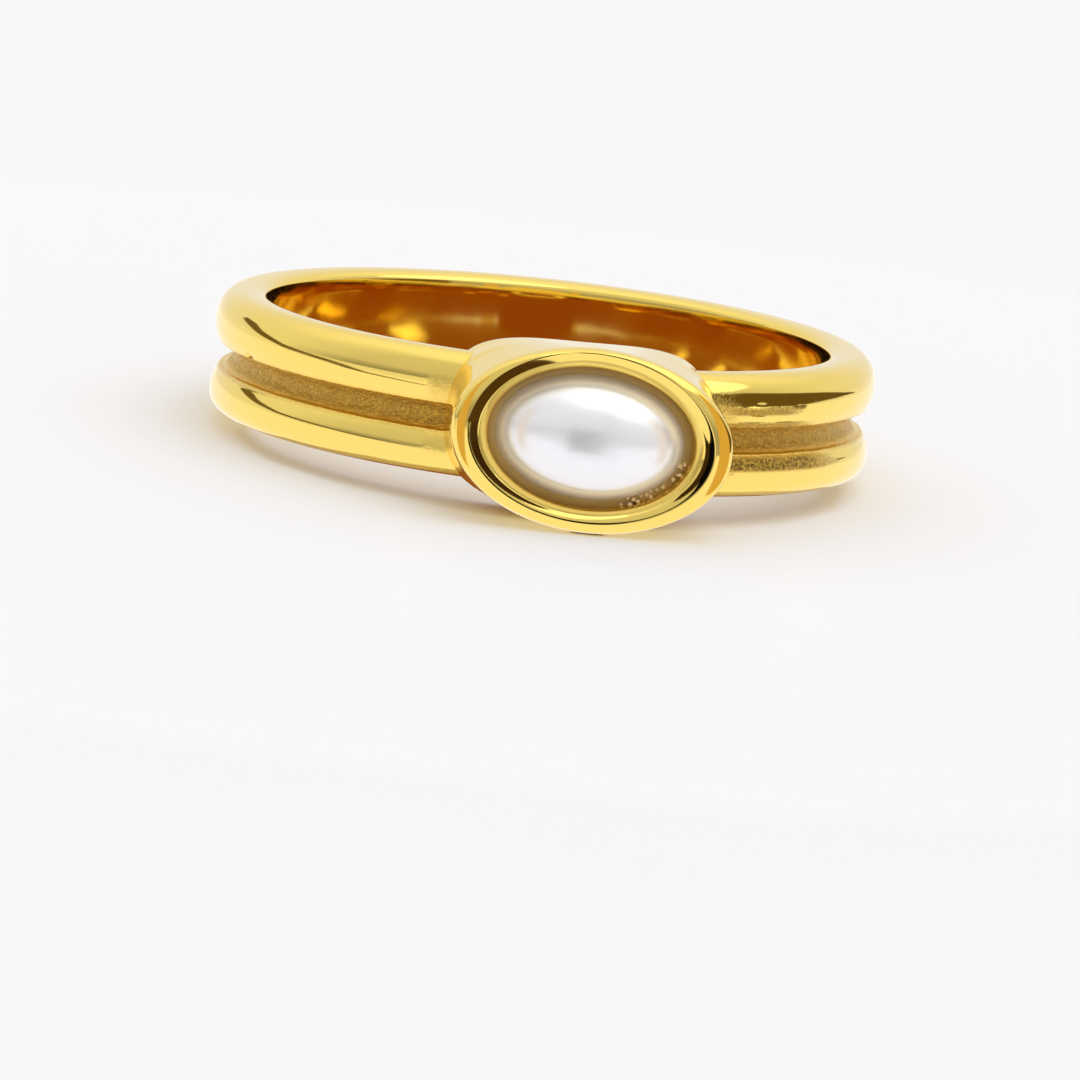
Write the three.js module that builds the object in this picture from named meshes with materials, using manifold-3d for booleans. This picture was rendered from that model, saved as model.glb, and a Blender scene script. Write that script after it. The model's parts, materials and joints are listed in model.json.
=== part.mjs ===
// Stackable ring: a polished hoop of two round rails with a groove between them, cast in one with an
// oval cup on the front, and a pearl cabochon set in the cup.
// Units are millimetres. While it is shaped, the ring's axis is Z and the cup faces -Y. At the end the
// ring is laid on its side as it rests by itself, on the lip of the cup and the back of the hoop.
import * as THREE from "three";
import { mergeVertices } from "three/addons/utils/BufferGeometryUtils.js";
import Module from "manifold-3d";

// Hoop
const boreRadius = 8.65; // 17.3 mm across, a medium finger size
const hoopWall = 1.5; // from the bore to the crown of a rail
const hoopWidth = 3.74; // along the finger
const railBulge = 0.68; // how far a rail's rounding reaches in from its crown
const railSquareness = 2.8; // exponent of a rail's outline: 2 is a plain oval, more is boxier
const grooveWidth = 0.4; // between the feet of the two rails
const grooveDepth = 0.62; // below the crowns
const boreEdge = 0.28; // rounding where the bore meets the side faces

// Stone, an oval cabochon
const stoneLength = 5.8; // round the finger
const stoneWidth = 3.8; // along the finger
const stoneGirdle = 0.4; // height of its upright edge
const stoneDome = 1.8; // height of the dome above the edge
const stoneBevel = 0.15; // bevel round its flat base

// Setting, the oval cup
const seatGap = 0.2; // cement space beside the stone
const seatBed = 0.1; // cement space under it
const seatFloor = 0.15; // metal between the rail crowns and the cup's floor
const cupDepth = 1.15; // from the floor to the edge of the mouth
const lipHeight = 0.65; // from the edge of the mouth to the crest of the lip
const lipAtEnds = 1.12; // breadth of the lip at the ends of the oval
const lipAtSides = 0.72; // breadth of the lip above and below the stone
const crestShare = 0.66; // how far the crest lies from the outside of the lip towards the mouth
const shoulderHeight = 0.6; // height of the lip's outer rounding
const footAtEnds = 0.18; // how far the wall spreads at the ends, from the lip down to the bore
const footAtSides = -0.26; // the same above and below, where the wall draws in
const footSquareness = 2.6; // exponent of the foot's outline: 2 is a plain oval, more is boxier
const footEdge = 0.14; // rounding of the foot where it comes out at the bore
const cupTurn = THREE.MathUtils.degToRad(-3); // the cup and the stone sit slightly askew on the hoop

// Fineness of the facets
const hoopSegments = 96;
const ovalSegments = 56;
const arcSteps = 6; // facets in a quarter round of the cup

const outerRadius = boreRadius + hoopWall;
const stoneBase = outerRadius + seatFloor + seatBed;
const mouthLevel = outerRadius + seatFloor + cupDepth;
const crestLevel = mouthLevel + lipHeight;

const wasm = await Module();
wasm.setup();

// Booleans

function toSolid(geometry) {
  const bare = new THREE.BufferGeometry();
  bare.setAttribute("position", geometry.getAttribute("position"));
  bare.setIndex(geometry.getIndex());
  const merged = mergeVertices(bare, 1e-4);
  return new wasm.Manifold(
    new wasm.Mesh({
      numProp: 3,
      vertProperties: new Float32Array(merged.getAttribute("position").array),
      triVerts: new Uint32Array(merged.getIndex().array),
    }),
  );
}

function toGeometry(solid) {
  const mesh = solid.getMesh();
  const geometry = new THREE.BufferGeometry();
  geometry.setAttribute("position", new THREE.BufferAttribute(mesh.vertProperties, 3));
  geometry.setIndex(new THREE.BufferAttribute(mesh.triVerts, 1));
  const flat = geometry.toNonIndexed();
  flat.computeVertexNormals();
  return flat;
}

// Outlines

// Points on an elliptic arc from one angle to another, both ends included.
function arc(centreX, centreY, radiusX, radiusY, from, to, steps) {
  return Array.from({ length: steps + 1 }, (_, i) => {
    const angle = from + ((to - from) * i) / steps;
    return new THREE.Vector2(centreX + radiusX * Math.cos(angle), centreY + radiusY * Math.sin(angle));
  });
}

// A sine or cosine, pushed outwards so that the oval it draws is as boxy as the exponent says.
function swell(share, squareness) {
  return Math.sign(share) * Math.abs(share) ** (2 / squareness);
}

// The upper half of the hoop's section, from the bore round the upper rail to the middle of the groove.
// x is the distance from the axis and y the height. Inside the bore it keeps some stock to be bored out.
function upperHalfSection() {
  const halfWidth = hoopWidth / 2;
  const halfRail = (hoopWidth - grooveWidth) / 4;
  const railCentre = new THREE.Vector2(outerRadius - railBulge, halfWidth - halfRail);
  const quarter = Math.PI / 2;
  const rail = arc(0, 0, 1, 1, quarter, -quarter, 4 * arcSteps)
    .map((p) => new THREE.Vector2(railBulge * swell(p.x, railSquareness), halfRail * swell(p.y, railSquareness)))
    .map((p) => p.add(railCentre));
  const grooveFloor = outerRadius - grooveDepth;
  const flank = rail.filter((p) => p.y > railCentre.y || p.x > grooveFloor);
  return [
    new THREE.Vector2(boreRadius - hoopWall / 3, halfWidth - boreEdge),
    ...arc(boreRadius + boreEdge, halfWidth - boreEdge, boreEdge, boreEdge, Math.PI, quarter, 4),
    ...flank,
    new THREE.Vector2(grooveFloor, 0.7 * flank.at(-1).y),
  ];
}

// Solids

function hoopBlank() {
  const upper = upperHalfSection();
  const lower = upper.map((p) => new THREE.Vector2(p.x, -p.y));
  const section = [...lower, ...upper.reverse(), lower[0]];
  const halfSegment = Math.PI / hoopSegments;
  const geometry = new THREE.LatheGeometry(section, hoopSegments, halfSegment);
  return toSolid(geometry.rotateX(Math.PI / 2));
}

function boreCutter() {
  const height = 2 * (stoneWidth + lipAtSides + hoopWidth);
  const halfSegment = Math.PI / hoopSegments;
  const cylinder = new THREE.CylinderGeometry(
    boreRadius, boreRadius, height, hoopSegments, 1, false, halfSegment,
  );
  return toSolid(cylinder.rotateX(Math.PI / 2));
}

// A ring of points on an oval. Its level is a distance from the hoop's axis: a flat oval stands at one
// level, and one that follows the bore keeps that distance all round.
function oval({ halfLength, halfWidth, level, followsBore = false }) {
  const squareness = followsBore ? footSquareness : 2;
  const turn = followsBore ? 0 : cupTurn;
  return Array.from({ length: ovalSegments }, (_, i) => {
    const angle = (2 * Math.PI * i) / ovalSegments;
    const flat = new THREE.Vector2(
      halfLength * swell(Math.cos(angle), squareness),
      halfWidth * swell(Math.sin(angle), squareness),
    ).rotateAround(new THREE.Vector2(), turn);
    const depth = followsBore ? Math.sqrt(level * level - flat.x * flat.x) : level;
    return new THREE.Vector3(flat.x, -depth, flat.y);
  });
}

// A closed solid through ovals, from its inner end to its outer one, with a fan over each end.
function loft(ovals) {
  const rings = ovals.map(oval);
  const middle = (ring) => ring.reduce((sum, p) => sum.add(p), new THREE.Vector3()).divideScalar(ring.length);
  const points = [middle(rings[0]), ...rings.flat(), middle(rings.at(-1))];
  const index = [];
  for (let i = 0; i < ovalSegments; i++) {
    const j = (i + 1) % ovalSegments;
    index.push(0, 1 + j, 1 + i);
    for (let r = 0; r + 1 < rings.length; r++) {
      const near = 1 + r * ovalSegments;
      const far = near + ovalSegments;
      index.push(near + i, near + j, far + j, near + i, far + j, far + i);
    }
    const last = 1 + (rings.length - 1) * ovalSegments;
    index.push(points.length - 1, last + i, last + j);
  }
  const geometry = new THREE.BufferGeometry().setFromPoints(points);
  geometry.setIndex(index);
  return geometry;
}

const mouth = { length: stoneLength / 2 + seatGap, width: stoneWidth / 2 + seatGap };
const lip = { length: mouth.length + lipAtEnds, width: mouth.width + lipAtSides };

// An oval part of the way from the outside of the lip, at 0, to the mouth, at 1.
function lipOval(share, level) {
  return {
    halfLength: lip.length - share * lipAtEnds,
    halfWidth: lip.width - share * lipAtSides,
    level,
  };
}

function settingBlank() {
  const shoulderLevel = crestLevel - shoulderHeight;
  const foot = (inset, level) => ({
    halfLength: lip.length + footAtEnds - inset,
    halfWidth: lip.width + footAtSides - inset,
    level,
    followsBore: true,
  });
  const footRound = arc(footEdge, boreRadius + footEdge, footEdge, footEdge, -Math.PI / 2, -Math.PI, 3);
  const outerRound = arc(crestShare, shoulderLevel, crestShare, shoulderHeight, Math.PI, Math.PI / 2, arcSteps);
  const innerRound = arc(crestShare, mouthLevel, 1 - crestShare, lipHeight, Math.PI / 2, 0, arcSteps);
  return toSolid(loft([
    foot(footEdge, boreRadius - hoopWall / 3),
    ...footRound.map((p) => foot(p.x, p.y)),
    ...outerRound.map((p) => lipOval(p.x, p.y)),
    ...innerRound.slice(1).map((p) => lipOval(p.x, p.y)),
    lipOval(1, outerRadius + seatFloor),
  ]));
}

function castBody() {
  return toGeometry(hoopBlank().add(settingBlank()).subtract(boreCutter()));
}

function cabochon() {
  const girdleTop = stoneBase + stoneGirdle;
  const outline = (inset, level) => ({
    halfLength: stoneLength / 2 - inset,
    halfWidth: stoneWidth / 2 - inset,
    level,
  });
  const dome = Array.from({ length: arcSteps + 2 }, (_, i) => {
    const angle = (i / (arcSteps + 2)) * (Math.PI / 2);
    return {
      halfLength: (stoneLength / 2) * Math.cos(angle),
      halfWidth: (stoneWidth / 2) * Math.cos(angle),
      level: girdleTop + stoneDome * Math.sin(angle),
    };
  });
  const geometry = loft([outline(stoneBevel, stoneBase), outline(0, stoneBase + stoneBevel), ...dome]);
  // The fan over the last oval rises to the top of the dome.
  const position = geometry.getAttribute("position");
  position.setY(position.count - 1, -(girdleTop + stoneDome));
  return toGeometry(toSolid(geometry));
}

// The ring, with each piece in its own material

const gold = new THREE.MeshStandardMaterial({ color: 0xe9c15a, roughness: 0.12, metalness: 1 });
const pearl = new THREE.MeshStandardMaterial({ color: 0xf1eeee, roughness: 0.2, metalness: 0 });

function piece(name, geometry, material) {
  const mesh = new THREE.Mesh(geometry, material);
  mesh.name = name;
  return mesh;
}

const upright = new THREE.Group();
upright.add(piece("cast_ring_body", castBody(), gold));
upright.add(piece("pearl_cabochon", cabochon(), pearl));

// How far the ring leans back when the lip of the cup and the back of the hoop both touch a flat surface.
function restingLean(geometry) {
  const position = geometry.getAttribute("position");
  let lean = 0;
  for (let round = 0; round < 8; round++) {
    const lowest = { front: null, back: null };
    for (let i = 0; i < position.count; i++) {
      const y = position.getY(i);
      const z = position.getZ(i);
      const height = z * Math.cos(lean) - y * Math.sin(lean);
      const side = y < 0 ? "front" : "back";
      if (!lowest[side] || height < lowest[side].height) lowest[side] = { y, z, height };
    }
    const { front, back } = lowest;
    lean = Math.atan2(back.z - front.z, back.y - front.y);
  }
  return lean;
}

upright.rotation.x = -restingLean(upright.getObjectByName("cast_ring_body").geometry);

// The origin is under the middle of the resting ring, on the surface.
const ring = new THREE.Group();
ring.add(upright);
ring.updateMatrixWorld(true);
const box = new THREE.Box3().setFromObject(ring, true);
const middle = box.getCenter(new THREE.Vector3());
upright.position.set(-middle.x, -middle.y, -box.min.z);

export default ring;
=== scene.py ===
# The looks of a stackable ring: a cast, gold-plated hoop and cup with a pearl cabochon cemented in it.
# Everything ends in metres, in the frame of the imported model, where the ring lies on its side.
import json
import math

import bmesh
import bpy
import numpy as np
from mathutils import Matrix, Vector


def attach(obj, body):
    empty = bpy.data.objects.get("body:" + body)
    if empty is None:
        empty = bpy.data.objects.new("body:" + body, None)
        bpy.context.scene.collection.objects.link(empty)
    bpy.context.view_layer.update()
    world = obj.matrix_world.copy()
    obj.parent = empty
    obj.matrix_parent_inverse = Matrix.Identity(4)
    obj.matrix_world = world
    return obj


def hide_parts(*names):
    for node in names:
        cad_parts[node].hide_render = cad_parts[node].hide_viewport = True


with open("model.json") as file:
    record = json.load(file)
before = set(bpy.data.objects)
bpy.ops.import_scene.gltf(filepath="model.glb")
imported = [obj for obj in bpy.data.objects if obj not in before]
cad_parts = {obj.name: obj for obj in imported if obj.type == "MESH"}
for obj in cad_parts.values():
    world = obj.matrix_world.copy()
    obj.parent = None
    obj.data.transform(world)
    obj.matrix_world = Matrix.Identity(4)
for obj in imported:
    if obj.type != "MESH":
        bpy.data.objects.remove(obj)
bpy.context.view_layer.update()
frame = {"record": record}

# Gold ring: hoop.
# The hoop is cast in one with the cup, in steel, then plated with yellow gold and mirror polished. Its
# outside is two round rails, and the groove between them keeps some of the grain of the casting.

mm = 0.001
bore_radius = 8.65 * mm
bore_facets = 96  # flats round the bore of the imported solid
crown_radius = 10.14 * mm

# The ring's own axes: x to the right, y to the back of the hoop and z along the finger, from the middle
# of the bore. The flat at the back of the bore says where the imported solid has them.
seat = next(m for m in frame["record"]["mounts"] if m["name"] == "finger_seat")
front = Vector(seat["axis"]).normalized()
middle = Vector(seat["pos_m"]) + front * bore_radius * math.cos(math.pi / bore_facets)
lean = math.atan2(front.z, -front.y)
lie_down = Matrix.Translation(middle) @ Matrix.Rotation(-lean, 4, "X")


def rounding(centre, reach, turn_from, turn_to, steps, boxy=2.0):
    """Points on a quarter of an oval: distance from the axis and height, both in mm, and no casting grain."""
    points = []
    for i in range(steps + 1):
        turn = math.radians(turn_from + (turn_to - turn_from) * i / steps)
        c = math.copysign(abs(math.cos(turn)) ** (2 / boxy), math.cos(turn))
        s = math.copysign(abs(math.sin(turn)) ** (2 / boxy), math.sin(turn))
        points.append((centre[0] + reach[0] * c, centre[1] + reach[1] * s, 0.0))
    return points


def hoop_section():
    """The outline of the hoop's section, in mm, with how much casting grain is left at each point."""
    half_width = 1.87
    bore = bore_radius / mm
    upper_rail = crown_radius / mm
    lower_rail = upper_rail - 0.02
    side_top = 9.3  # distance from the axis at which the domed side face is highest
    bore_edge = 1.62  # height at which the bore starts to round over
    upper_crown, lower_crown = 0.86, -1.14
    groove_top, groove_foot = 0.28, -0.53
    groove_depth = 0.46
    brim_reach = 0.12  # how far the grain of the groove goes over its brims
    bore_steps, edge_steps, side_steps, rail_steps, groove_steps = 8, 8, 20, 36, 24

    # From the bore over the upper side face and rail to the upper brim of the groove.
    side_reach = (side_top - bore, half_width - bore_edge)
    outline = rounding((side_top, bore_edge), side_reach, 180, 90, edge_steps, 2.2)
    upper = (side_top, upper_crown)
    outline += rounding(upper, (upper_rail - side_top, half_width - upper_crown), 90, 0, side_steps, 2.3)[1:]
    rail_edge = rounding(upper, (upper_rail - side_top, 0.98), 0, -90, rail_steps)[1:]
    outline += [p for p in rail_edge if p[1] > groove_top]

    # The groove, between two points on its brims.
    lower = (side_top, lower_crown)
    rail_edge = rounding(lower, (lower_rail - side_top, 0.86), 90, 0, rail_steps)[:-1]
    rail_edge = [p for p in rail_edge if p[1] < groove_foot]
    brim_top, brim_foot = outline[-1], rail_edge[0]
    for i in range(1, groove_steps):
        share = 0.5 - 0.5 * math.cos(math.pi * i / groove_steps)
        level = brim_top[1] + (brim_foot[1] - brim_top[1]) * share
        along = (brim_top[1] - level) / (brim_top[1] - brim_foot[1])
        brim = brim_top[0] + (brim_foot[0] - brim_top[0]) * along
        hollow = max(math.sin(math.pi * along), 0.0) ** 0.5
        outline.append((brim - groove_depth * hollow, level, min(1.0, 1.4 * hollow)))
    outline += rail_edge
    for i, (r, z, grain) in enumerate(outline):
        if r > 9.5:  # on the outside of the hoop
            from_brim = min(abs(z - groove_top), abs(z - groove_foot))
            outline[i] = (r, z, max(grain, 0.5 * (1 - from_brim / brim_reach)))

    # From the lower rail over the lower side face back to the bore.
    outline += rounding(lower, (lower_rail - side_top, half_width + lower_crown), 0, -90, side_steps, 2.8)
    outline += rounding((side_top, -bore_edge), side_reach, -90, -180, edge_steps)[1:]
    outline += [(bore, bore_edge * (2 * i / bore_steps - 1), 0.0) for i in range(1, bore_steps)]
    return outline


def node_group(name, inputs):
    """An empty tree of geometry nodes, with its named inputs."""
    tree = bpy.data.node_groups.new(name, "GeometryNodeTree")
    tree.interface.new_socket("Geometry", in_out="INPUT", socket_type="NodeSocketGeometry")
    for label, kind, value in inputs:
        socket = tree.interface.new_socket(label, in_out="INPUT", socket_type=kind)
        socket.default_value = value
    tree.interface.new_socket("Geometry", in_out="OUTPUT", socket_type="NodeSocketGeometry")
    return tree


def add_node(tree, kind, settings=None, **sockets):
    """A node with its settings, and its inputs by name: a value, or the output that feeds it."""
    node = tree.nodes.new(kind)
    for key, value in (settings or {}).items():
        setattr(node, key, value)
    for key, value in sockets.items():
        label = key.replace("_", " ")
        socket = next(s for s in node.inputs if s.name == label and s.enabled)
        if isinstance(value, bpy.types.NodeSocket):
            tree.links.new(value, socket)
        else:
            socket.default_value = value
    return node


def maths(tree, operation, *values):
    """The output of a Math node on values or on other nodes' outputs."""
    node = tree.nodes.new("ShaderNodeMath")
    node.operation = operation
    for socket, value in zip(node.inputs, values):
        if isinstance(value, bpy.types.NodeSocket):
            tree.links.new(value, socket)
        else:
            socket.default_value = value
    return node.outputs[0]


def scaled(tree, vector, share):
    """The output of a vector times a number."""
    node = tree.nodes.new("ShaderNodeVectorMath")
    node.operation = "SCALE"
    tree.links.new(vector, node.inputs[0])
    tree.links.new(share, node.inputs["Scale"])
    return node.outputs[0]


def finished_tree(tree, geometry, material):
    """A tree with its end: real meshes, shaded smooth, with their material."""
    real = add_node(tree, "GeometryNodeRealizeInstances", Geometry=geometry)
    smooth = add_node(tree, "GeometryNodeSetShadeSmooth", Geometry=real.outputs["Geometry"])
    coated = add_node(tree, "GeometryNodeSetMaterial", Geometry=smooth.outputs["Geometry"], Material=material)
    out = tree.nodes.new("NodeGroupOutput")
    tree.links.new(coated.outputs["Geometry"], out.inputs["Geometry"])
    return tree


# Where the wheel couldn't reach beside the cup, rough bands are left along the rails: the bearing of each
# from the cup and its half length, in radians, its height and its half width, in mm, and its share of grain.
rough_bands = (
    (0.62, 0.40, -0.80, 0.30, 1.3),
    (0.58, 0.20, 0.80, 0.15, 1.0),
    (0.55, 0.34, 0.34, 0.15, 1.0),
    (0.43, 0.08, 0.0, 1.5, 0.45),
    (-0.43, 0.06, 0.0, 1.5, 0.35),
)
# A lump of the casting beside the cup, and a nick in the brim of the groove: places as above, then how far
# each stands out, in mm.
casting_flaws = (
    (0.565, 0.035, 0.88, 0.22, 0.07),
    (-1.222, 0.02, 0.33, 0.16, -0.10),
)


def sweep_tree():
    """Sweeps a section round a circle and roughens it where its grain and the rough bands say."""
    tree = node_group("hoop sweep", [
        ("Hoop radius", "NodeSocketFloat", bore_radius),
        ("Steps round", "NodeSocketInt", 560),
        ("Grain height", "NodeSocketFloat", 0.12 * mm),
        ("Grain size", "NodeSocketFloat", 0.34 * mm),
        ("Grain beside cup", "NodeSocketFloat", 1.0),
        ("Material", "NodeSocketMaterial", None),
    ])
    given = tree.nodes.new("NodeGroupInput").outputs
    profile = add_node(tree, "GeometryNodeMeshToCurve", Mesh=given["Geometry"])
    circle = add_node(
        tree, "GeometryNodeCurvePrimitiveCircle",
        Radius=given["Hoop radius"], Resolution=given["Steps round"],
    )
    swept = add_node(
        tree, "GeometryNodeCurveToMesh",
        Curve=circle.outputs["Curve"], Profile_Curve=profile.outputs["Curve"],
    )
    drawn = add_node(tree, "GeometryNodeInputNamedAttribute", {"data_type": "FLOAT"}, Name="cast_grain")
    place = tree.nodes.new("GeometryNodeInputPosition").outputs[0]
    spot = add_node(tree, "ShaderNodeSeparateXYZ", Vector=place).outputs
    bearing = maths(tree, "ARCTAN2", spot["X"], maths(tree, "MULTIPLY", spot["Y"], -1.0))
    squares = [maths(tree, "POWER", spot[axis], 2.0) for axis in "XY"]
    from_axis = maths(tree, "SQRT", maths(tree, "ADD", *squares))

    def hill(source, middle, half):
        """1 at the middle of a stretch, and smoothly down to 0 at its ends."""
        off = maths(tree, "ABSOLUTE", maths(tree, "SUBTRACT", source, middle))
        return add_node(
            tree, "ShaderNodeMapRange", {"interpolation_type": "SMOOTHSTEP"},
            Value=off, From_Min=half, From_Max=half * 0.45, To_Min=0.0, To_Max=1.0,
        ).outputs[0]

    outside = hill(from_axis, 11.0 * mm, 1.9 * mm)

    def patch(turn, reach, level, half):
        """1 at the middle of a patch of the hoop's outside, and smoothly down to 0 at its ends."""
        flat = maths(tree, "MULTIPLY", hill(bearing, turn, reach), hill(spot["Z"], level * mm, half * mm))
        return maths(tree, "MULTIPLY", flat, outside)

    grain = drawn.outputs["Attribute"]
    for *where, share in rough_bands:
        amount = maths(tree, "MULTIPLY", given["Grain beside cup"], share)
        grain = maths(tree, "MAXIMUM", grain, maths(tree, "MULTIPLY", patch(*where), amount))
    scale = maths(tree, "DIVIDE", 1.0, given["Grain size"])
    grit = add_node(tree, "ShaderNodeTexNoise", Vector=place, Scale=scale, Detail=3.0, Roughness=0.6)
    swing = maths(tree, "SUBTRACT", grit.outputs["Fac"], 0.5)
    height = maths(tree, "MULTIPLY", maths(tree, "MULTIPLY", swing, given["Grain height"]), grain)
    for *where, size in casting_flaws:
        height = maths(tree, "ADD", height, maths(tree, "MULTIPLY", patch(*where), size * mm))
    outwards = tree.nodes.new("GeometryNodeInputNormal").outputs[0]
    rough = add_node(
        tree, "GeometryNodeSetPosition",
        Geometry=swept.outputs["Mesh"], Offset=scaled(tree, outwards, height),
    )
    kept = add_node(
        tree, "GeometryNodeStoreNamedAttribute", {"data_type": "FLOAT", "domain": "POINT"},
        Geometry=rough.outputs["Geometry"], Name="cast_grain", Value=grain,
    )
    return finished_tree(tree, kept.outputs["Geometry"], given["Material"])


def grown(base, tree, values, name):
    """The plain mesh that a tree of geometry nodes makes of a mesh."""
    seed = bpy.data.objects.new(name + "_seed", base)
    bpy.context.collection.objects.link(seed)
    modifier = seed.modifiers.new("nodes", "NODES")
    modifier.node_group = tree
    for item in tree.interface.items_tree:
        if item.in_out == "INPUT" and item.name in values:
            modifier[item.identifier] = values[item.name]
    bpy.context.view_layer.update()
    made = seed.evaluated_get(bpy.context.evaluated_depsgraph_get())
    mesh = bpy.data.meshes.new_from_object(made)
    mesh.name = name
    seed.modifiers.remove(modifier)
    bpy.data.objects.remove(seed)
    return mesh


gold = bpy.data.materials.new("polished gold plating")
gold.use_nodes = True

outline = hoop_section()
section = bpy.data.meshes.new("hoop_section")
section.from_pydata(
    [(r * mm - bore_radius, -z * mm, 0.0) for r, z, grain in outline],
    [(i, (i + 1) % len(outline)) for i in range(len(outline))],
    [],
)
section.attributes.new("cast_grain", "FLOAT", "POINT").data.foreach_set("value", [p[2] for p in outline])
hoop = grown(section, sweep_tree(), {"Material": gold}, "hoop")

# Gold ring: cup.
# The oval cup is one piece with the hoop: its foot is flush with the bore, its wall rises out of the
# rails, and its broad lip, rounded over by polishing, dips inwards to the edge that holds the stone.

# Lengths are in mm. A size runs round the finger and along it, and is half the whole but for the stone's.
# A level is a distance from the axis.
stone_size = (5.8, 3.8)
cement_gap = 0.2
cup_turn = math.radians(-3)  # the cup sits slightly askew on the hoop
mouth_size = (stone_size[0] / 2 + cement_gap, stone_size[1] / 2 + cement_gap)
lip_size = (4.24, 2.80)
lip_top = 0.965  # the lip's outer edge is less wide above the stone than below
crest_size = (3.72, 2.47)
crest_top = 1.055  # and the crest of the lip is wider above it
crest_shift = 0.06  # to the left
foot_spread = (-0.34, -0.33)  # the foot is smaller than the lip
fillet = 0.06  # where the rails run into the wall
shoulder_level, floor_level = 11.62, 10.32
oval_points = 192  # round every oval of the cup, the stone and the cement

# How the lip leans, in degrees: from the shoulder inwards by mm, and from the crest to the mouth by share.
outer_leans = (
    (0, 84), (0.03, 76), (0.07, 62), (0.11, 42), (0.15, 28), (0.20, 19), (0.45, 14), (0.60, 8), (1, 3),
)
inner_leans = ((0, 3), (0.04, 13), (0.48, 27), (0.56, 38), (0.75, 46), (0.90, 52), (0.96, 66), (1, 78))


def oval_ring(half_length, half_width, level, boxy=2.0, turn=cup_turn, along_bore=False):
    """Points of an oval in the ring's own axes, in mm: flat, or bent to keep its distance from the axis."""
    t = np.linspace(0, 2 * math.pi, oval_points, endpoint=False)
    x = half_length * np.sign(np.cos(t)) * np.abs(np.cos(t)) ** (2 / boxy)
    z = half_width * np.sign(np.sin(t)) * np.abs(np.sin(t)) ** (2 / boxy)
    x, z = x * math.cos(turn) - z * math.sin(turn), x * math.sin(turn) + z * math.cos(turn)
    depth = np.sqrt(level * level - x * x) if along_bore else np.full(oval_points, level)
    return np.stack([x, -depth, z], axis=1)


def run_up(leans):
    """Distances from 0 to 1 along a slope, and its rise at each, from its leans in degrees at distances."""
    x = np.linspace(0, 1, 61)
    slope = np.tan(np.radians(np.interp(x, [d for d, lean in leans], [lean for d, lean in leans])))
    return x, np.concatenate([[0.0], np.cumsum((slope[1:] + slope[:-1]) / 2 * np.diff(x))])


def narrowed(ring, share):
    """An oval with its upper half narrowed to a share of its width, smoothly from the middle up."""
    rise = np.clip(ring[:, 2] / 1.6, 0, 1)
    ring[:, 2] *= 1 + (share - 1) * rise * rise * (3 - 2 * rise)
    return ring


def cup_rings():
    """The ovals of the cup, from its foot at the bore, over the lip and down to its floor."""
    foot = [a + b for a, b in zip(lip_size, foot_spread)]
    bore = bore_radius / mm + 0.006  # a hair deeper in the metal than the bore
    rings = []
    for inset, rise in ((2.0, 0), (1.0, 0), (0.4, 0), (0.14, 0), (0.07, 0.012), (0.025, 0.05), (0, 0.14)):
        rings.append(oval_ring(foot[0] - inset, foot[1] - inset, bore + rise, 3.5, 0.0, True))
    low = rings[-1]
    high = narrowed(oval_ring(*lip_size, shoulder_level), lip_top)
    wall_steps = 32
    for i in range(1, wall_steps + 1):
        ring = low + (high - low) * i / wall_steps
        # Beside the rails, 9.3 to 10.55 mm from the axis, the wall spreads out in a fillet.
        from_axis = np.hypot(ring[:, 0], ring[:, 1])
        on_rails = np.clip((10.55 - from_axis) / 0.5, 0, 1) ** 2 * np.clip((from_axis - 9.3) / 0.5, 0, 1)
        aside = np.clip(np.abs(ring[:, 0]) - 2.0, 0, 1)
        ring[:, 0] += fillet * on_rails * aside * np.sign(ring[:, 0])
        rings.append(ring)
    # From the shoulder over the rounded edge, with the ovals closest there, and the face to the crest.
    outer = rings[-1]
    crest = narrowed(oval_ring(*crest_size, 0.0) - [crest_shift, 0.0, 0.0], crest_top)
    gap = np.hypot(outer[:, 0] - crest[:, 0], outer[:, 2] - crest[:, 2])
    distances, climb = run_up(outer_leans)
    lip_shares = np.linspace(0, 1, 29)[1:]
    for share in lip_shares ** 1.6:
        ring = outer + (crest - outer) * share
        ring[:, 1] = -shoulder_level - np.interp(gap * share, distances, climb)
        rings.append(ring)
    # From the crest down to the mouth: first a shallow slope, then a steeper one.
    top = rings[-1][:, 1]
    mouth = oval_ring(*mouth_size, 0.0)
    gap = np.hypot(mouth[:, 0] - crest[:, 0], mouth[:, 2] - crest[:, 2])
    shares, fall = run_up(inner_leans)
    for share in lip_shares:
        ring = crest + (mouth - crest) * share
        ring[:, 1] = top + np.interp(share, shares, fall) * gap
        rings.append(ring)
    for level in (11.2, 10.8, floor_level):
        rings.append(oval_ring(*mouth_size, level))
    for inset in (0.5, 1.2, 1.9):
        rings.append(oval_ring(mouth_size[0] - inset, mouth_size[1] - inset, floor_level))
    return rings


def lofted(rings, name):
    """A closed mesh through rings of points, each end closed by a fan."""
    count = len(rings[0])
    points = np.concatenate([rings[0].mean(axis=0)[None]] + rings + [rings[-1].mean(axis=0)[None]])
    last = len(points) - 1
    faces = []
    for i in range(count):
        j = (i + 1) % count
        faces.append((0, 1 + j, 1 + i))
        for k in range(len(rings) - 1):
            near = 1 + k * count
            far = near + count
            faces.append((near + i, near + j, far + j, far + i))
        top = 1 + (len(rings) - 1) * count
        faces.append((last, top + i, top + j))
    mesh = bpy.data.meshes.new(name)
    mesh.from_pydata((points * mm).tolist(), [], faces)
    mesh.shade_smooth()
    return mesh


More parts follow.
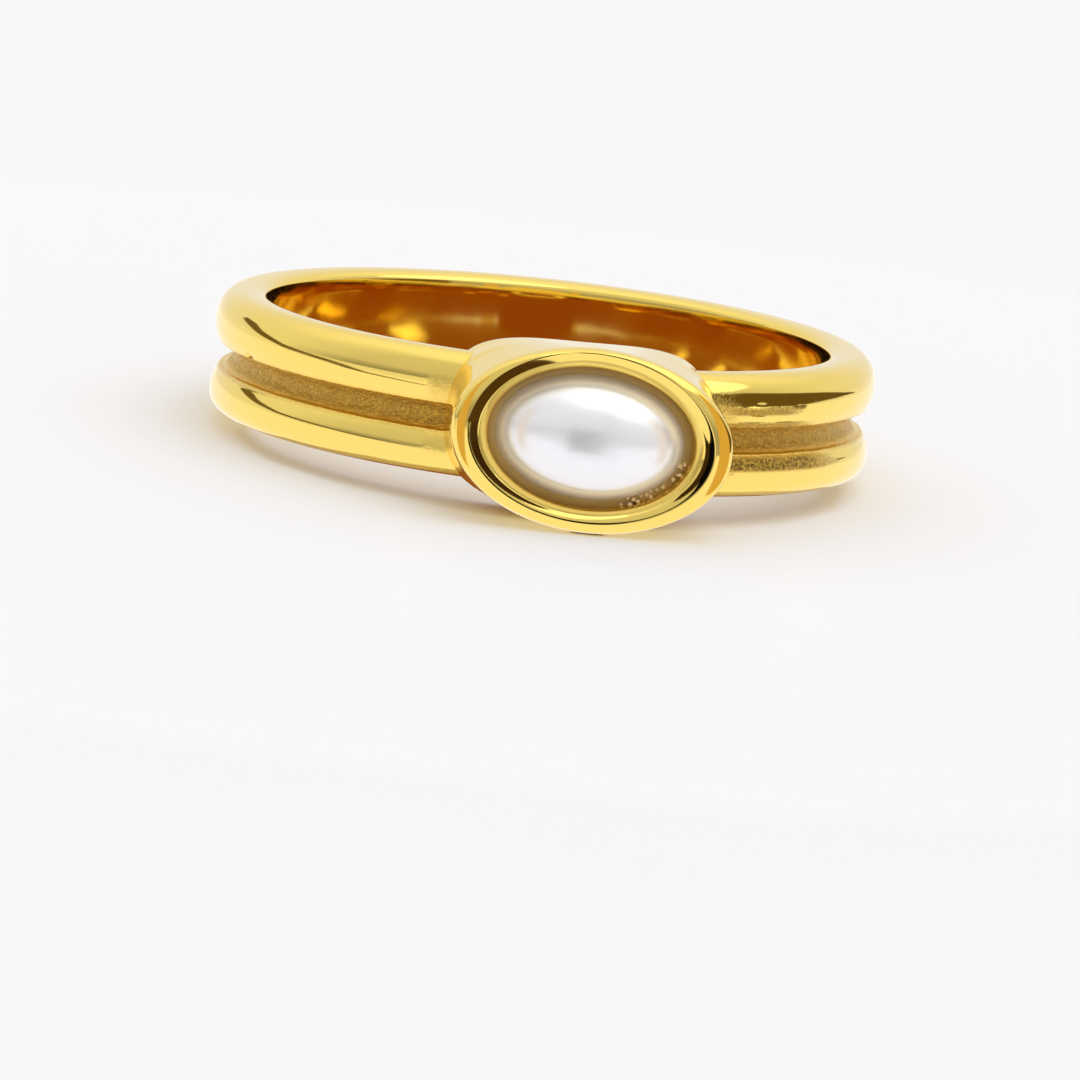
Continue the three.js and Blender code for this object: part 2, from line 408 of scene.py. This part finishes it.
def joined(meshes, name):
    """One mesh of several, in order."""
    points, faces, values = [], [], []
    for mesh in meshes:
        start = len(points)
        points += [v.co[:] for v in mesh.vertices]
        faces += [[start + i for i in p.vertices] for p in mesh.polygons]
        grain = mesh.attributes.get("cast_grain")
        values += [g.value for g in grain.data] if grain else [0.0] * len(mesh.vertices)
    whole = bpy.data.meshes.new(name)
    whole.from_pydata(points, [], faces)
    facing = bmesh.new()
    facing.from_mesh(whole)
    bmesh.ops.recalc_face_normals(facing, faces=facing.faces)
    facing.to_mesh(whole)
    facing.free()
    whole.attributes.new("cast_grain", "FLOAT", "POINT").data.foreach_set("value", values)
    whole.shade_smooth()
    return whole


def placed(mesh, name):
    """The object that shows a mesh made in the ring's own axes, laid down with the ring."""
    mesh.transform(lie_down)
    thing = bpy.data.objects.new(name, mesh)
    bpy.context.collection.objects.link(thing)
    return thing


cup = lofted(cup_rings(), "cup")
ring_body = placed(joined([hoop, cup], "gold_ring"), "gold_ring")
ring_body.data.materials.append(gold)
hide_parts("cast_ring_body")
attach(ring_body, "root")

tree = gold.node_tree
metal = tree.nodes["Principled BSDF"]
metal.inputs["Metallic"].default_value = 1.0
place = add_node(tree, "ShaderNodeTexCoord").outputs["Object"]
cast = add_node(tree, "ShaderNodeAttribute", {"attribute_name": "cast_grain"}).outputs["Fac"]


def noise(size, detail=2.0, roughness=0.5):
    """Noise with features of a size in metres, from 0 to 1."""
    node = add_node(
        tree, "ShaderNodeTexNoise", Vector=place, Scale=1 / size, Detail=detail, Roughness=roughness,
    )
    return node.outputs["Fac"]


def between(source, low, high, to_low, to_high):
    """A number that goes from one value to another as its source goes from low to high."""
    node = add_node(
        tree, "ShaderNodeMapRange",
        Value=source, From_Min=low, From_Max=high, To_Min=to_low, To_Max=to_high,
    )
    return node.outputs[0]


# The plating is even, a little deeper in tone in the groove, where no polishing wheel reached.
polished_tone, cast_tone = (0.965, 0.715, 0.175, 1.0), (0.80, 0.51, 0.095, 1.0)
tone = add_node(tree, "ShaderNodeMix", {"data_type": "RGBA"}, Factor=cast, A=polished_tone, B=cast_tone)
# There the pits of the casting are darker still.
pits = noise(0.09 * mm, 3.0, 0.65)
pitted = maths(tree, "MULTIPLY", maths(tree, "POWER", cast, 3.0), 0.42)
speckle = add_node(
    tree, "ShaderNodeMix", {"data_type": "RGBA", "blend_type": "MULTIPLY"},
    Factor=pitted, A=tone.outputs["Result"], B=between(pits, 0.40, 0.64, 0.10, 1.0),
)
tree.links.new(speckle.outputs["Result"], metal.inputs["Base Color"])
polish = between(noise(1.7 * mm, 3.0), 0.3, 0.7, 0.055, 0.10)
tree.links.new(maths(tree, "ADD", polish, maths(tree, "MULTIPLY", cast, 0.30)), metal.inputs["Roughness"])
# Long soft waves from the polishing wheel, and the pits of the casting in the groove.
waves = add_node(tree, "ShaderNodeBump", Height=noise(1.3 * mm, 1.0), Distance=0.004 * mm, Strength=0.5)
cast_pits = maths(tree, "MULTIPLY", pits, cast)
cast_bump = add_node(
    tree, "ShaderNodeBump",
    Height=cast_pits, Distance=0.09 * mm, Strength=0.9, Normal=waves.outputs["Normal"],
)
tree.links.new(cast_bump.outputs["Normal"], metal.inputs["Normal"])

# Pearl cabochon.
# An oval slice of pearl, ground flat underneath and cemented on the floor of the cup. Its nacre has a
# silky sheen, white with a breath of lilac.

dome_fullness = 2.35  # 2 is a plain oval, more is fuller


def pearl_rings():
    """The ovals of the stone, from its flat base to the top of its dome."""
    base, girdle, dome_height, dome_steps = 10.4, 0.4, 1.8, 64
    length, width = stone_size[0] / 2, stone_size[1] / 2
    rings = []
    for inset, rise in ((1.6, 0), (0.8, 0), (0.15, 0), (0.06, 0.05), (0, 0.15), (0, 0.28)):
        rings.append(oval_ring(length - inset, width - inset, base + rise))
    for i in range(dome_steps):
        turn = math.radians(90 * i / dome_steps)
        out = math.cos(turn) ** (2 / dome_fullness)
        rise = math.sin(turn) ** (2 / dome_fullness)
        rings.append(oval_ring(length * out, width * out, base + girdle + dome_height * rise))
    return rings


pearl = bpy.data.materials.new("pearl nacre")
pearl.use_nodes = True
dome = pearl_rings()
stone = placed(lofted(dome, "pearl_dome"), "pearl_dome")
stone.data.materials.append(pearl)
# The stone's points keep their distance from the axis, in mm, for the painted reflection of the gold wall
# near its edge.
levels = [-ring[0][1] for ring in dome]
levels = [levels[0]] + [level for level in levels for _ in dome[0]] + [levels[-1]]
stone.data.attributes.new("level", "FLOAT", "POINT").data.foreach_set("value", levels)
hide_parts("pearl_cabochon")
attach(stone, "root")

tree = pearl.node_tree
nacre = tree.nodes["Principled BSDF"]
nacre.inputs["Metallic"].default_value = 0.48
nacre.inputs["Roughness"].default_value = 0.27
# Near its edge the stone's colour is a painted reflection of the gold wall round it: warm brown towards the
# girdle.
painted_wall_reflection, nacre_tone = (0.86, 0.67, 0.40, 1.0), (0.97, 0.965, 0.98, 1.0)
level = add_node(tree, "ShaderNodeAttribute", {"attribute_name": "level"}).outputs["Fac"]
inwards = add_node(
    tree, "ShaderNodeMapRange", {"interpolation_type": "SMOOTHSTEP"},
    Value=level, From_Min=10.95, From_Max=11.40, To_Min=0.0, To_Max=1.0,
)
body = add_node(
    tree, "ShaderNodeMix", {"data_type": "RGBA"}, Factor=inwards.outputs[0], A=painted_wall_reflection, B=nacre_tone,
)
tree.links.new(body.outputs["Result"], nacre.inputs["Base Color"])
# Its skin is very slightly wrinkled.
place = add_node(tree, "ShaderNodeTexCoord").outputs["Object"]
wrinkle = noise(0.22 * mm, 3.0, 0.6)
skin = add_node(tree, "ShaderNodeBump", Height=wrinkle, Distance=0.012 * mm, Strength=0.5)
tree.links.new(skin.outputs["Normal"], nacre.inputs["Normal"])

# Cement.
# The clear cement that holds the stone rises a little round its edge in the cup, like a meniscus, and
# left a few beads at the lower right when it was pressed out.

cement = bpy.data.materials.new("clear cement")
cement.use_nodes = True
resin = cement.node_tree.nodes["Principled BSDF"]
resin.inputs["Base Color"].default_value = (0.95, 0.74, 0.40, 1.0)
resin.inputs["Roughness"].default_value = 0.16
resin.inputs["Coat Weight"].default_value = 1.0
resin.inputs["Coat Roughness"].default_value = 0.05


def meniscus_rings():
    """The ovals of the cement's surface, from the wall of the cup down to the stone."""
    wall_level, stone_level, under_level, steps = 11.16, 11.12, 10.9, 8
    sag = 0.14
    rings = []
    for i in range(steps + 1):
        share = i / steps
        level = wall_level + (stone_level - wall_level) * share
        level -= sag * math.sin(math.pi * min(share * 1.1, 1.0))
        inset = 0.30 * share - 0.02  # from a hair inside the wall of the cup
        rings.append(oval_ring(mouth_size[0] - inset, mouth_size[1] - inset, level))
    for inset in (1.2, 1.8):
        rings.append(oval_ring(mouth_size[0] - inset, mouth_size[1] - inset, under_level))
    return rings


meniscus = placed(lofted(meniscus_rings(), "cement_bed"), "cement_bed")
meniscus.data.materials.append(cement)
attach(meniscus, "root")


def beads_tree():
    """Puts a bead on each point of a line, each of its own size and a little off its point."""
    tree = node_group("cement beads", [
        ("Bead radius", "NodeSocketFloat", 0.07 * mm),
        ("Straying", "NodeSocketFloat", 0.10 * mm),
        ("Seed", "NodeSocketInt", 5),
        ("Material", "NodeSocketMaterial", None),
    ])
    given = tree.nodes.new("NodeGroupInput").outputs
    points = add_node(tree, "GeometryNodeMeshToPoints", Mesh=given["Geometry"])
    stray = add_node(
        tree, "FunctionNodeRandomValue", {"data_type": "FLOAT_VECTOR"},
        Min=(-1, -1, -1), Max=(1, 1, 1), Seed=given["Seed"],
    )
    spread = add_node(
        tree, "GeometryNodeSetPosition",
        Geometry=points.outputs["Points"], Offset=scaled(tree, stray.outputs[0], given["Straying"]),
    )
    bead = add_node(tree, "GeometryNodeMeshIcoSphere", Radius=given["Bead radius"], Subdivisions=3)
    size = add_node(tree, "FunctionNodeRandomValue", Min=0.4, Max=1.25, Seed=given["Seed"])
    set_out = add_node(
        tree, "GeometryNodeInstanceOnPoints",
        Points=spread.outputs["Geometry"], Instance=bead.outputs["Mesh"], Scale=size.outputs[1],
    )
    return finished_tree(tree, set_out.outputs["Instances"], given["Material"])


# The beads lie along the lower right of the rim, just inside the mouth.
rim = oval_ring(mouth_size[0] - 0.12, mouth_size[1] - 0.12, 11.2)[158:186]
line = bpy.data.meshes.new("bead_line")
line.from_pydata((rim * mm).tolist(), [], [])
beads = placed(grown(line, beads_tree(), {"Material": cement}, "cement_beads"), "cement_beads")
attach(beads, "root")

# Floor, light and camera.
# A pale floor, a tent of soft light with dark and warm edges that the gold mirrors, a soft key light and
# a long lens at some distance.

floor_mesh = bpy.data.meshes.new("floor")
floor_mesh.from_pydata([(-2, -2, 0), (2, -2, 0), (2, 2, 0), (-2, 2, 0)], [], [(0, 1, 2, 3)])
floor = bpy.data.objects.new("floor", floor_mesh)
bpy.context.collection.objects.link(floor)
paper = bpy.data.materials.new("pale paper")
paper.use_nodes = True
sheet = paper.node_tree.nodes["Principled BSDF"]
sheet.inputs["Base Color"].default_value = (0.895, 0.887, 0.895, 1.0)
sheet.inputs["Roughness"].default_value = 0.7
floor_mesh.materials.append(paper)

# The tent of light: behind the ring it is bright down to the floor, and in front it is a grey that goes up
# to a bright ceiling.
world = bpy.data.worlds.new("light tent")
bpy.context.scene.world = world
world.use_nodes = True
tree = world.node_tree
tree.nodes.clear()
sight = tree.nodes.new("ShaderNodeTexCoord").outputs["Generated"]
split = add_node(tree, "ShaderNodeSeparateXYZ", Vector=sight)


def grey_ramp(source, stops):
    """The output of a ramp of greys on a source, with its stops as position and value."""
    ramp = add_node(tree, "ShaderNodeValToRGB", Fac=source)
    while len(ramp.color_ramp.elements) < len(stops):
        ramp.color_ramp.elements.new(0.5)
    for element, (position, value) in zip(ramp.color_ramp.elements, stops):
        element.position = position
        element.color = (value, value, value, 1)
    return ramp.outputs["Color"]


rise = split.outputs["Z"]
before = grey_ramp(rise, [(0.0, 0.30), (0.10, 0.45), (0.22, 0.68), (0.80, 0.74), (0.93, 1.05), (1.0, 1.15)])
behind = grey_ramp(rise, [(0.0, 0.885), (0.5, 0.89), (1.0, 1.15)])
backness = between(split.outputs["Y"], -0.25, 0.35, 0.0, 1.0)
blend = add_node(tree, "ShaderNodeMix", {"data_type": "RGBA"}, Factor=backness, A=before, B=behind)
background = add_node(tree, "ShaderNodeBackground", Color=blend.outputs["Result"], Strength=1.0)
add_node(tree, "ShaderNodeOutputWorld", Surface=background.outputs[0])

sun_light = bpy.data.lights.new("key light", "SUN")
sun_light.energy = 0.6
sun_light.angle = math.radians(60)
key = bpy.data.objects.new("key light", sun_light)
bpy.context.collection.objects.link(key)
key.rotation_euler = (-Vector((0.4, -0.35, 0.9))).to_track_quat("-Z", "Y").to_euler()


def card(name, colour, stations, one_sided=False):
    """A bent card that only reflections show, with a clear back where it is one-sided.

    Its stations go round the ring: the bearing in degrees, 0 in front and 90 to the right, then the
    radius and height of its lower and of its upper edge, in mm.
    """
    stations = np.array(stations, dtype=float)
    bends = 16 * (len(stations) - 1)
    along = np.linspace(0, len(stations) - 1, bends + 1)
    points = []
    for bearing, low_r, low_z, high_r, high_z in np.stack(
        [np.interp(along, np.arange(len(stations)), column) for column in stations.T], axis=1,
    ):
        s, c = math.sin(math.radians(bearing)), math.cos(math.radians(bearing))
        points.append((low_r * mm * s, -low_r * mm * c, low_z * mm))
        points.append((high_r * mm * s, -high_r * mm * c, high_z * mm))
    mesh = bpy.data.meshes.new(name)
    mesh.from_pydata(points, [], [(i, i + 1, i + 3, i + 2) for i in range(0, len(points) - 2, 2)])
    thing = bpy.data.objects.new(name, mesh)
    bpy.context.collection.objects.link(thing)
    paint = bpy.data.materials.new(name)
    paint.use_nodes = True
    paint.node_tree.nodes.clear()
    glow = add_node(paint.node_tree, "ShaderNodeEmission", Color=(*colour, 1.0), Strength=1.0).outputs[0]
    if one_sided:
        clear = paint.node_tree.nodes.new("ShaderNodeBsdfTransparent").outputs[0]
        sides = paint.node_tree.nodes.new("ShaderNodeMixShader")
        back = paint.node_tree.nodes.new("ShaderNodeNewGeometry").outputs["Backfacing"]
        for source, socket in zip((back, glow, clear), sides.inputs):
            paint.node_tree.links.new(source, socket)
        glow = sides.outputs[0]
    add_node(paint.node_tree, "ShaderNodeOutputMaterial", Surface=glow)
    mesh.materials.append(paint)
    for ray in ("camera", "diffuse", "transmission", "volume_scatter", "shadow"):
        setattr(thing, "visible_" + ray, False)


# The dark edges of the tent, as lines along the rails.
card("dark edge left", (0.16, 0.12, 0.045), [
    (-126, 28, 7.4, 28, 9.4),
    (-117, 28, 5.5, 28, 9.2),
    (-110, 28, 4.0, 28, 6.8),
    (-96, 28, 2.2, 28, 3.8),
    (-76, 26, 1.7, 26, 2.9),
    (-60, 22, 1.0, 22, 1.8),
    (-40, 18, 1.0, 18, 1.3),
])
card("dark edge right", (0.14, 0.09, 0.03), [
    (44, 24, 1.6, 24, 12.5),
    (60, 24, 1.6, 24, 12.0),
    (75, 24, 2.2, 24, 9.5),
    (90, 24, 2.8, 24, 6.8),
    (101, 24, 2.9, 24, 4.2),
    (109, 24, 2.6, 24, 2.8),
])
# The dark sides of the camera's stand, which the two ends of the lip show and the stone doesn't.
dark = (0.045, 0.022, 0.010)
card("stand right", dark, [
    (13.1, 23.0, 0.0, 23.0, 13.0),
    (9.8, 17.1, 0.0, 17.1, 9.5),
    (6.1, 13.3, 0.2, 13.3, 6.5),
], one_sided=True)
card("stand left", dark, [
    (-5.9, 13.4, 0.2, 13.4, 6.0),
    (-7.8, 16.8, 0.0, 16.8, 8.0),
    (-9.8, 25.2, 0.0, 25.2, 12.0),
], one_sided=True)
card("stand foot", (0.075, 0.04, 0.012), [
    (-19, 11.45, 3.1, 15.0, 3.1),
    (-2, 11.45, 3.1, 15.0, 3.1),
], one_sided=True)
# Warm and grey cards that colour the ends of the cup, and a dark one that makes the spot on the stone.
warm = (0.74, 0.50, 0.19)
card("warm left", warm, [(-25, 14, 0.0, 14, 7.0), (-20, 14, 0.0, 14, 7.0)])
card("warm right", warm, [(22, 14, 0.0, 14, 7.0), (30, 14, 0.0, 14, 7.0)])
card("grey front", (0.42, 0.42, 0.44), [(-40, 34, 0.4, 34, 4.6), (40, 34, 0.4, 34, 4.6)])
card("camera", (0.0, 0.0, 0.0), [(-5.0, 18, 0.7, 18, 4.1), (4.5, 18, 0.7, 18, 4.1)])
# The floor as the gold mirrors it: bright round the hoop, and inside it deep orange, with a few glints.
card("bright floor", (1.07, 1.05, 1.09), [(-180, 9.4, 0.05, 45, 0.05), (180, 9.4, 0.05, 45, 0.05)])
card("warm floor", (0.28, 0.09, 0.01), [(0, 0, 0.2, 8.4, 0.2), (360, 0, 0.2, 8.4, 0.2)])
card("warm skirt", (0.30, 0.10, 0.012), [(-180, 8.2, 0.0, 8.2, 0.7), (180, 8.2, 0.0, 8.2, 0.7)])
card("glint left", (1.9, 1.5, 0.45), [(86, 6.2, 0.3, 8.3, 0.5), (108, 6.2, 0.3, 8.3, 0.5)])
for bearing in (-109, -143, -172):
    ends = [(bearing + side, 6.8, 0.3, 8.3, 0.6) for side in (-3, 3)]
    card("glint right", (1.6, 1.2, 0.35), ends)

# The camera stands 300 mm from the middle of the ring, 8 degrees over the ring's own plane.
camera_distance = 0.3
azimuth, elevation, roll = math.radians(-8.1), math.radians(8.06), math.radians(6.23)
away = Vector((
    math.sin(azimuth) * math.cos(elevation),
    -math.cos(azimuth) * math.cos(elevation),
    math.sin(elevation),
))
right = Vector((math.cos(azimuth), math.sin(azimuth), 0))
up = away.cross(right)
right, up = right * math.cos(roll) + up * math.sin(roll), up * math.cos(roll) - right * math.sin(roll)
to_world = lie_down.to_3x3()
look = Matrix((to_world @ right, to_world @ up, to_world @ away)).transposed()
sensor, lens, pixels = 36.0, 326.5, 1080  # mm, mm, and across the frame
middle_pixel = (542.4, 378.7)  # where the middle of the ring shows
aim = Vector((
    (middle_pixel[0] - pixels / 2) * sensor / pixels,
    (pixels / 2 - middle_pixel[1]) * sensor / pixels,
    -lens,
)).normalized()
swing = aim.rotation_difference(Vector((0, 0, -1))).to_matrix()
camera_data = bpy.data.cameras.new("camera")
camera_data.sensor_width = sensor
camera_data.lens = lens
camera_data.clip_start = 0.01
camera = bpy.data.objects.new("camera", camera_data)
bpy.context.collection.objects.link(camera)
camera.matrix_world = Matrix.Translation(middle + to_world @ away * camera_distance) @ (look @ swing).to_4x4()
bpy.context.scene.camera = camera

bpy.context.scene.view_settings.view_transform = "Standard"
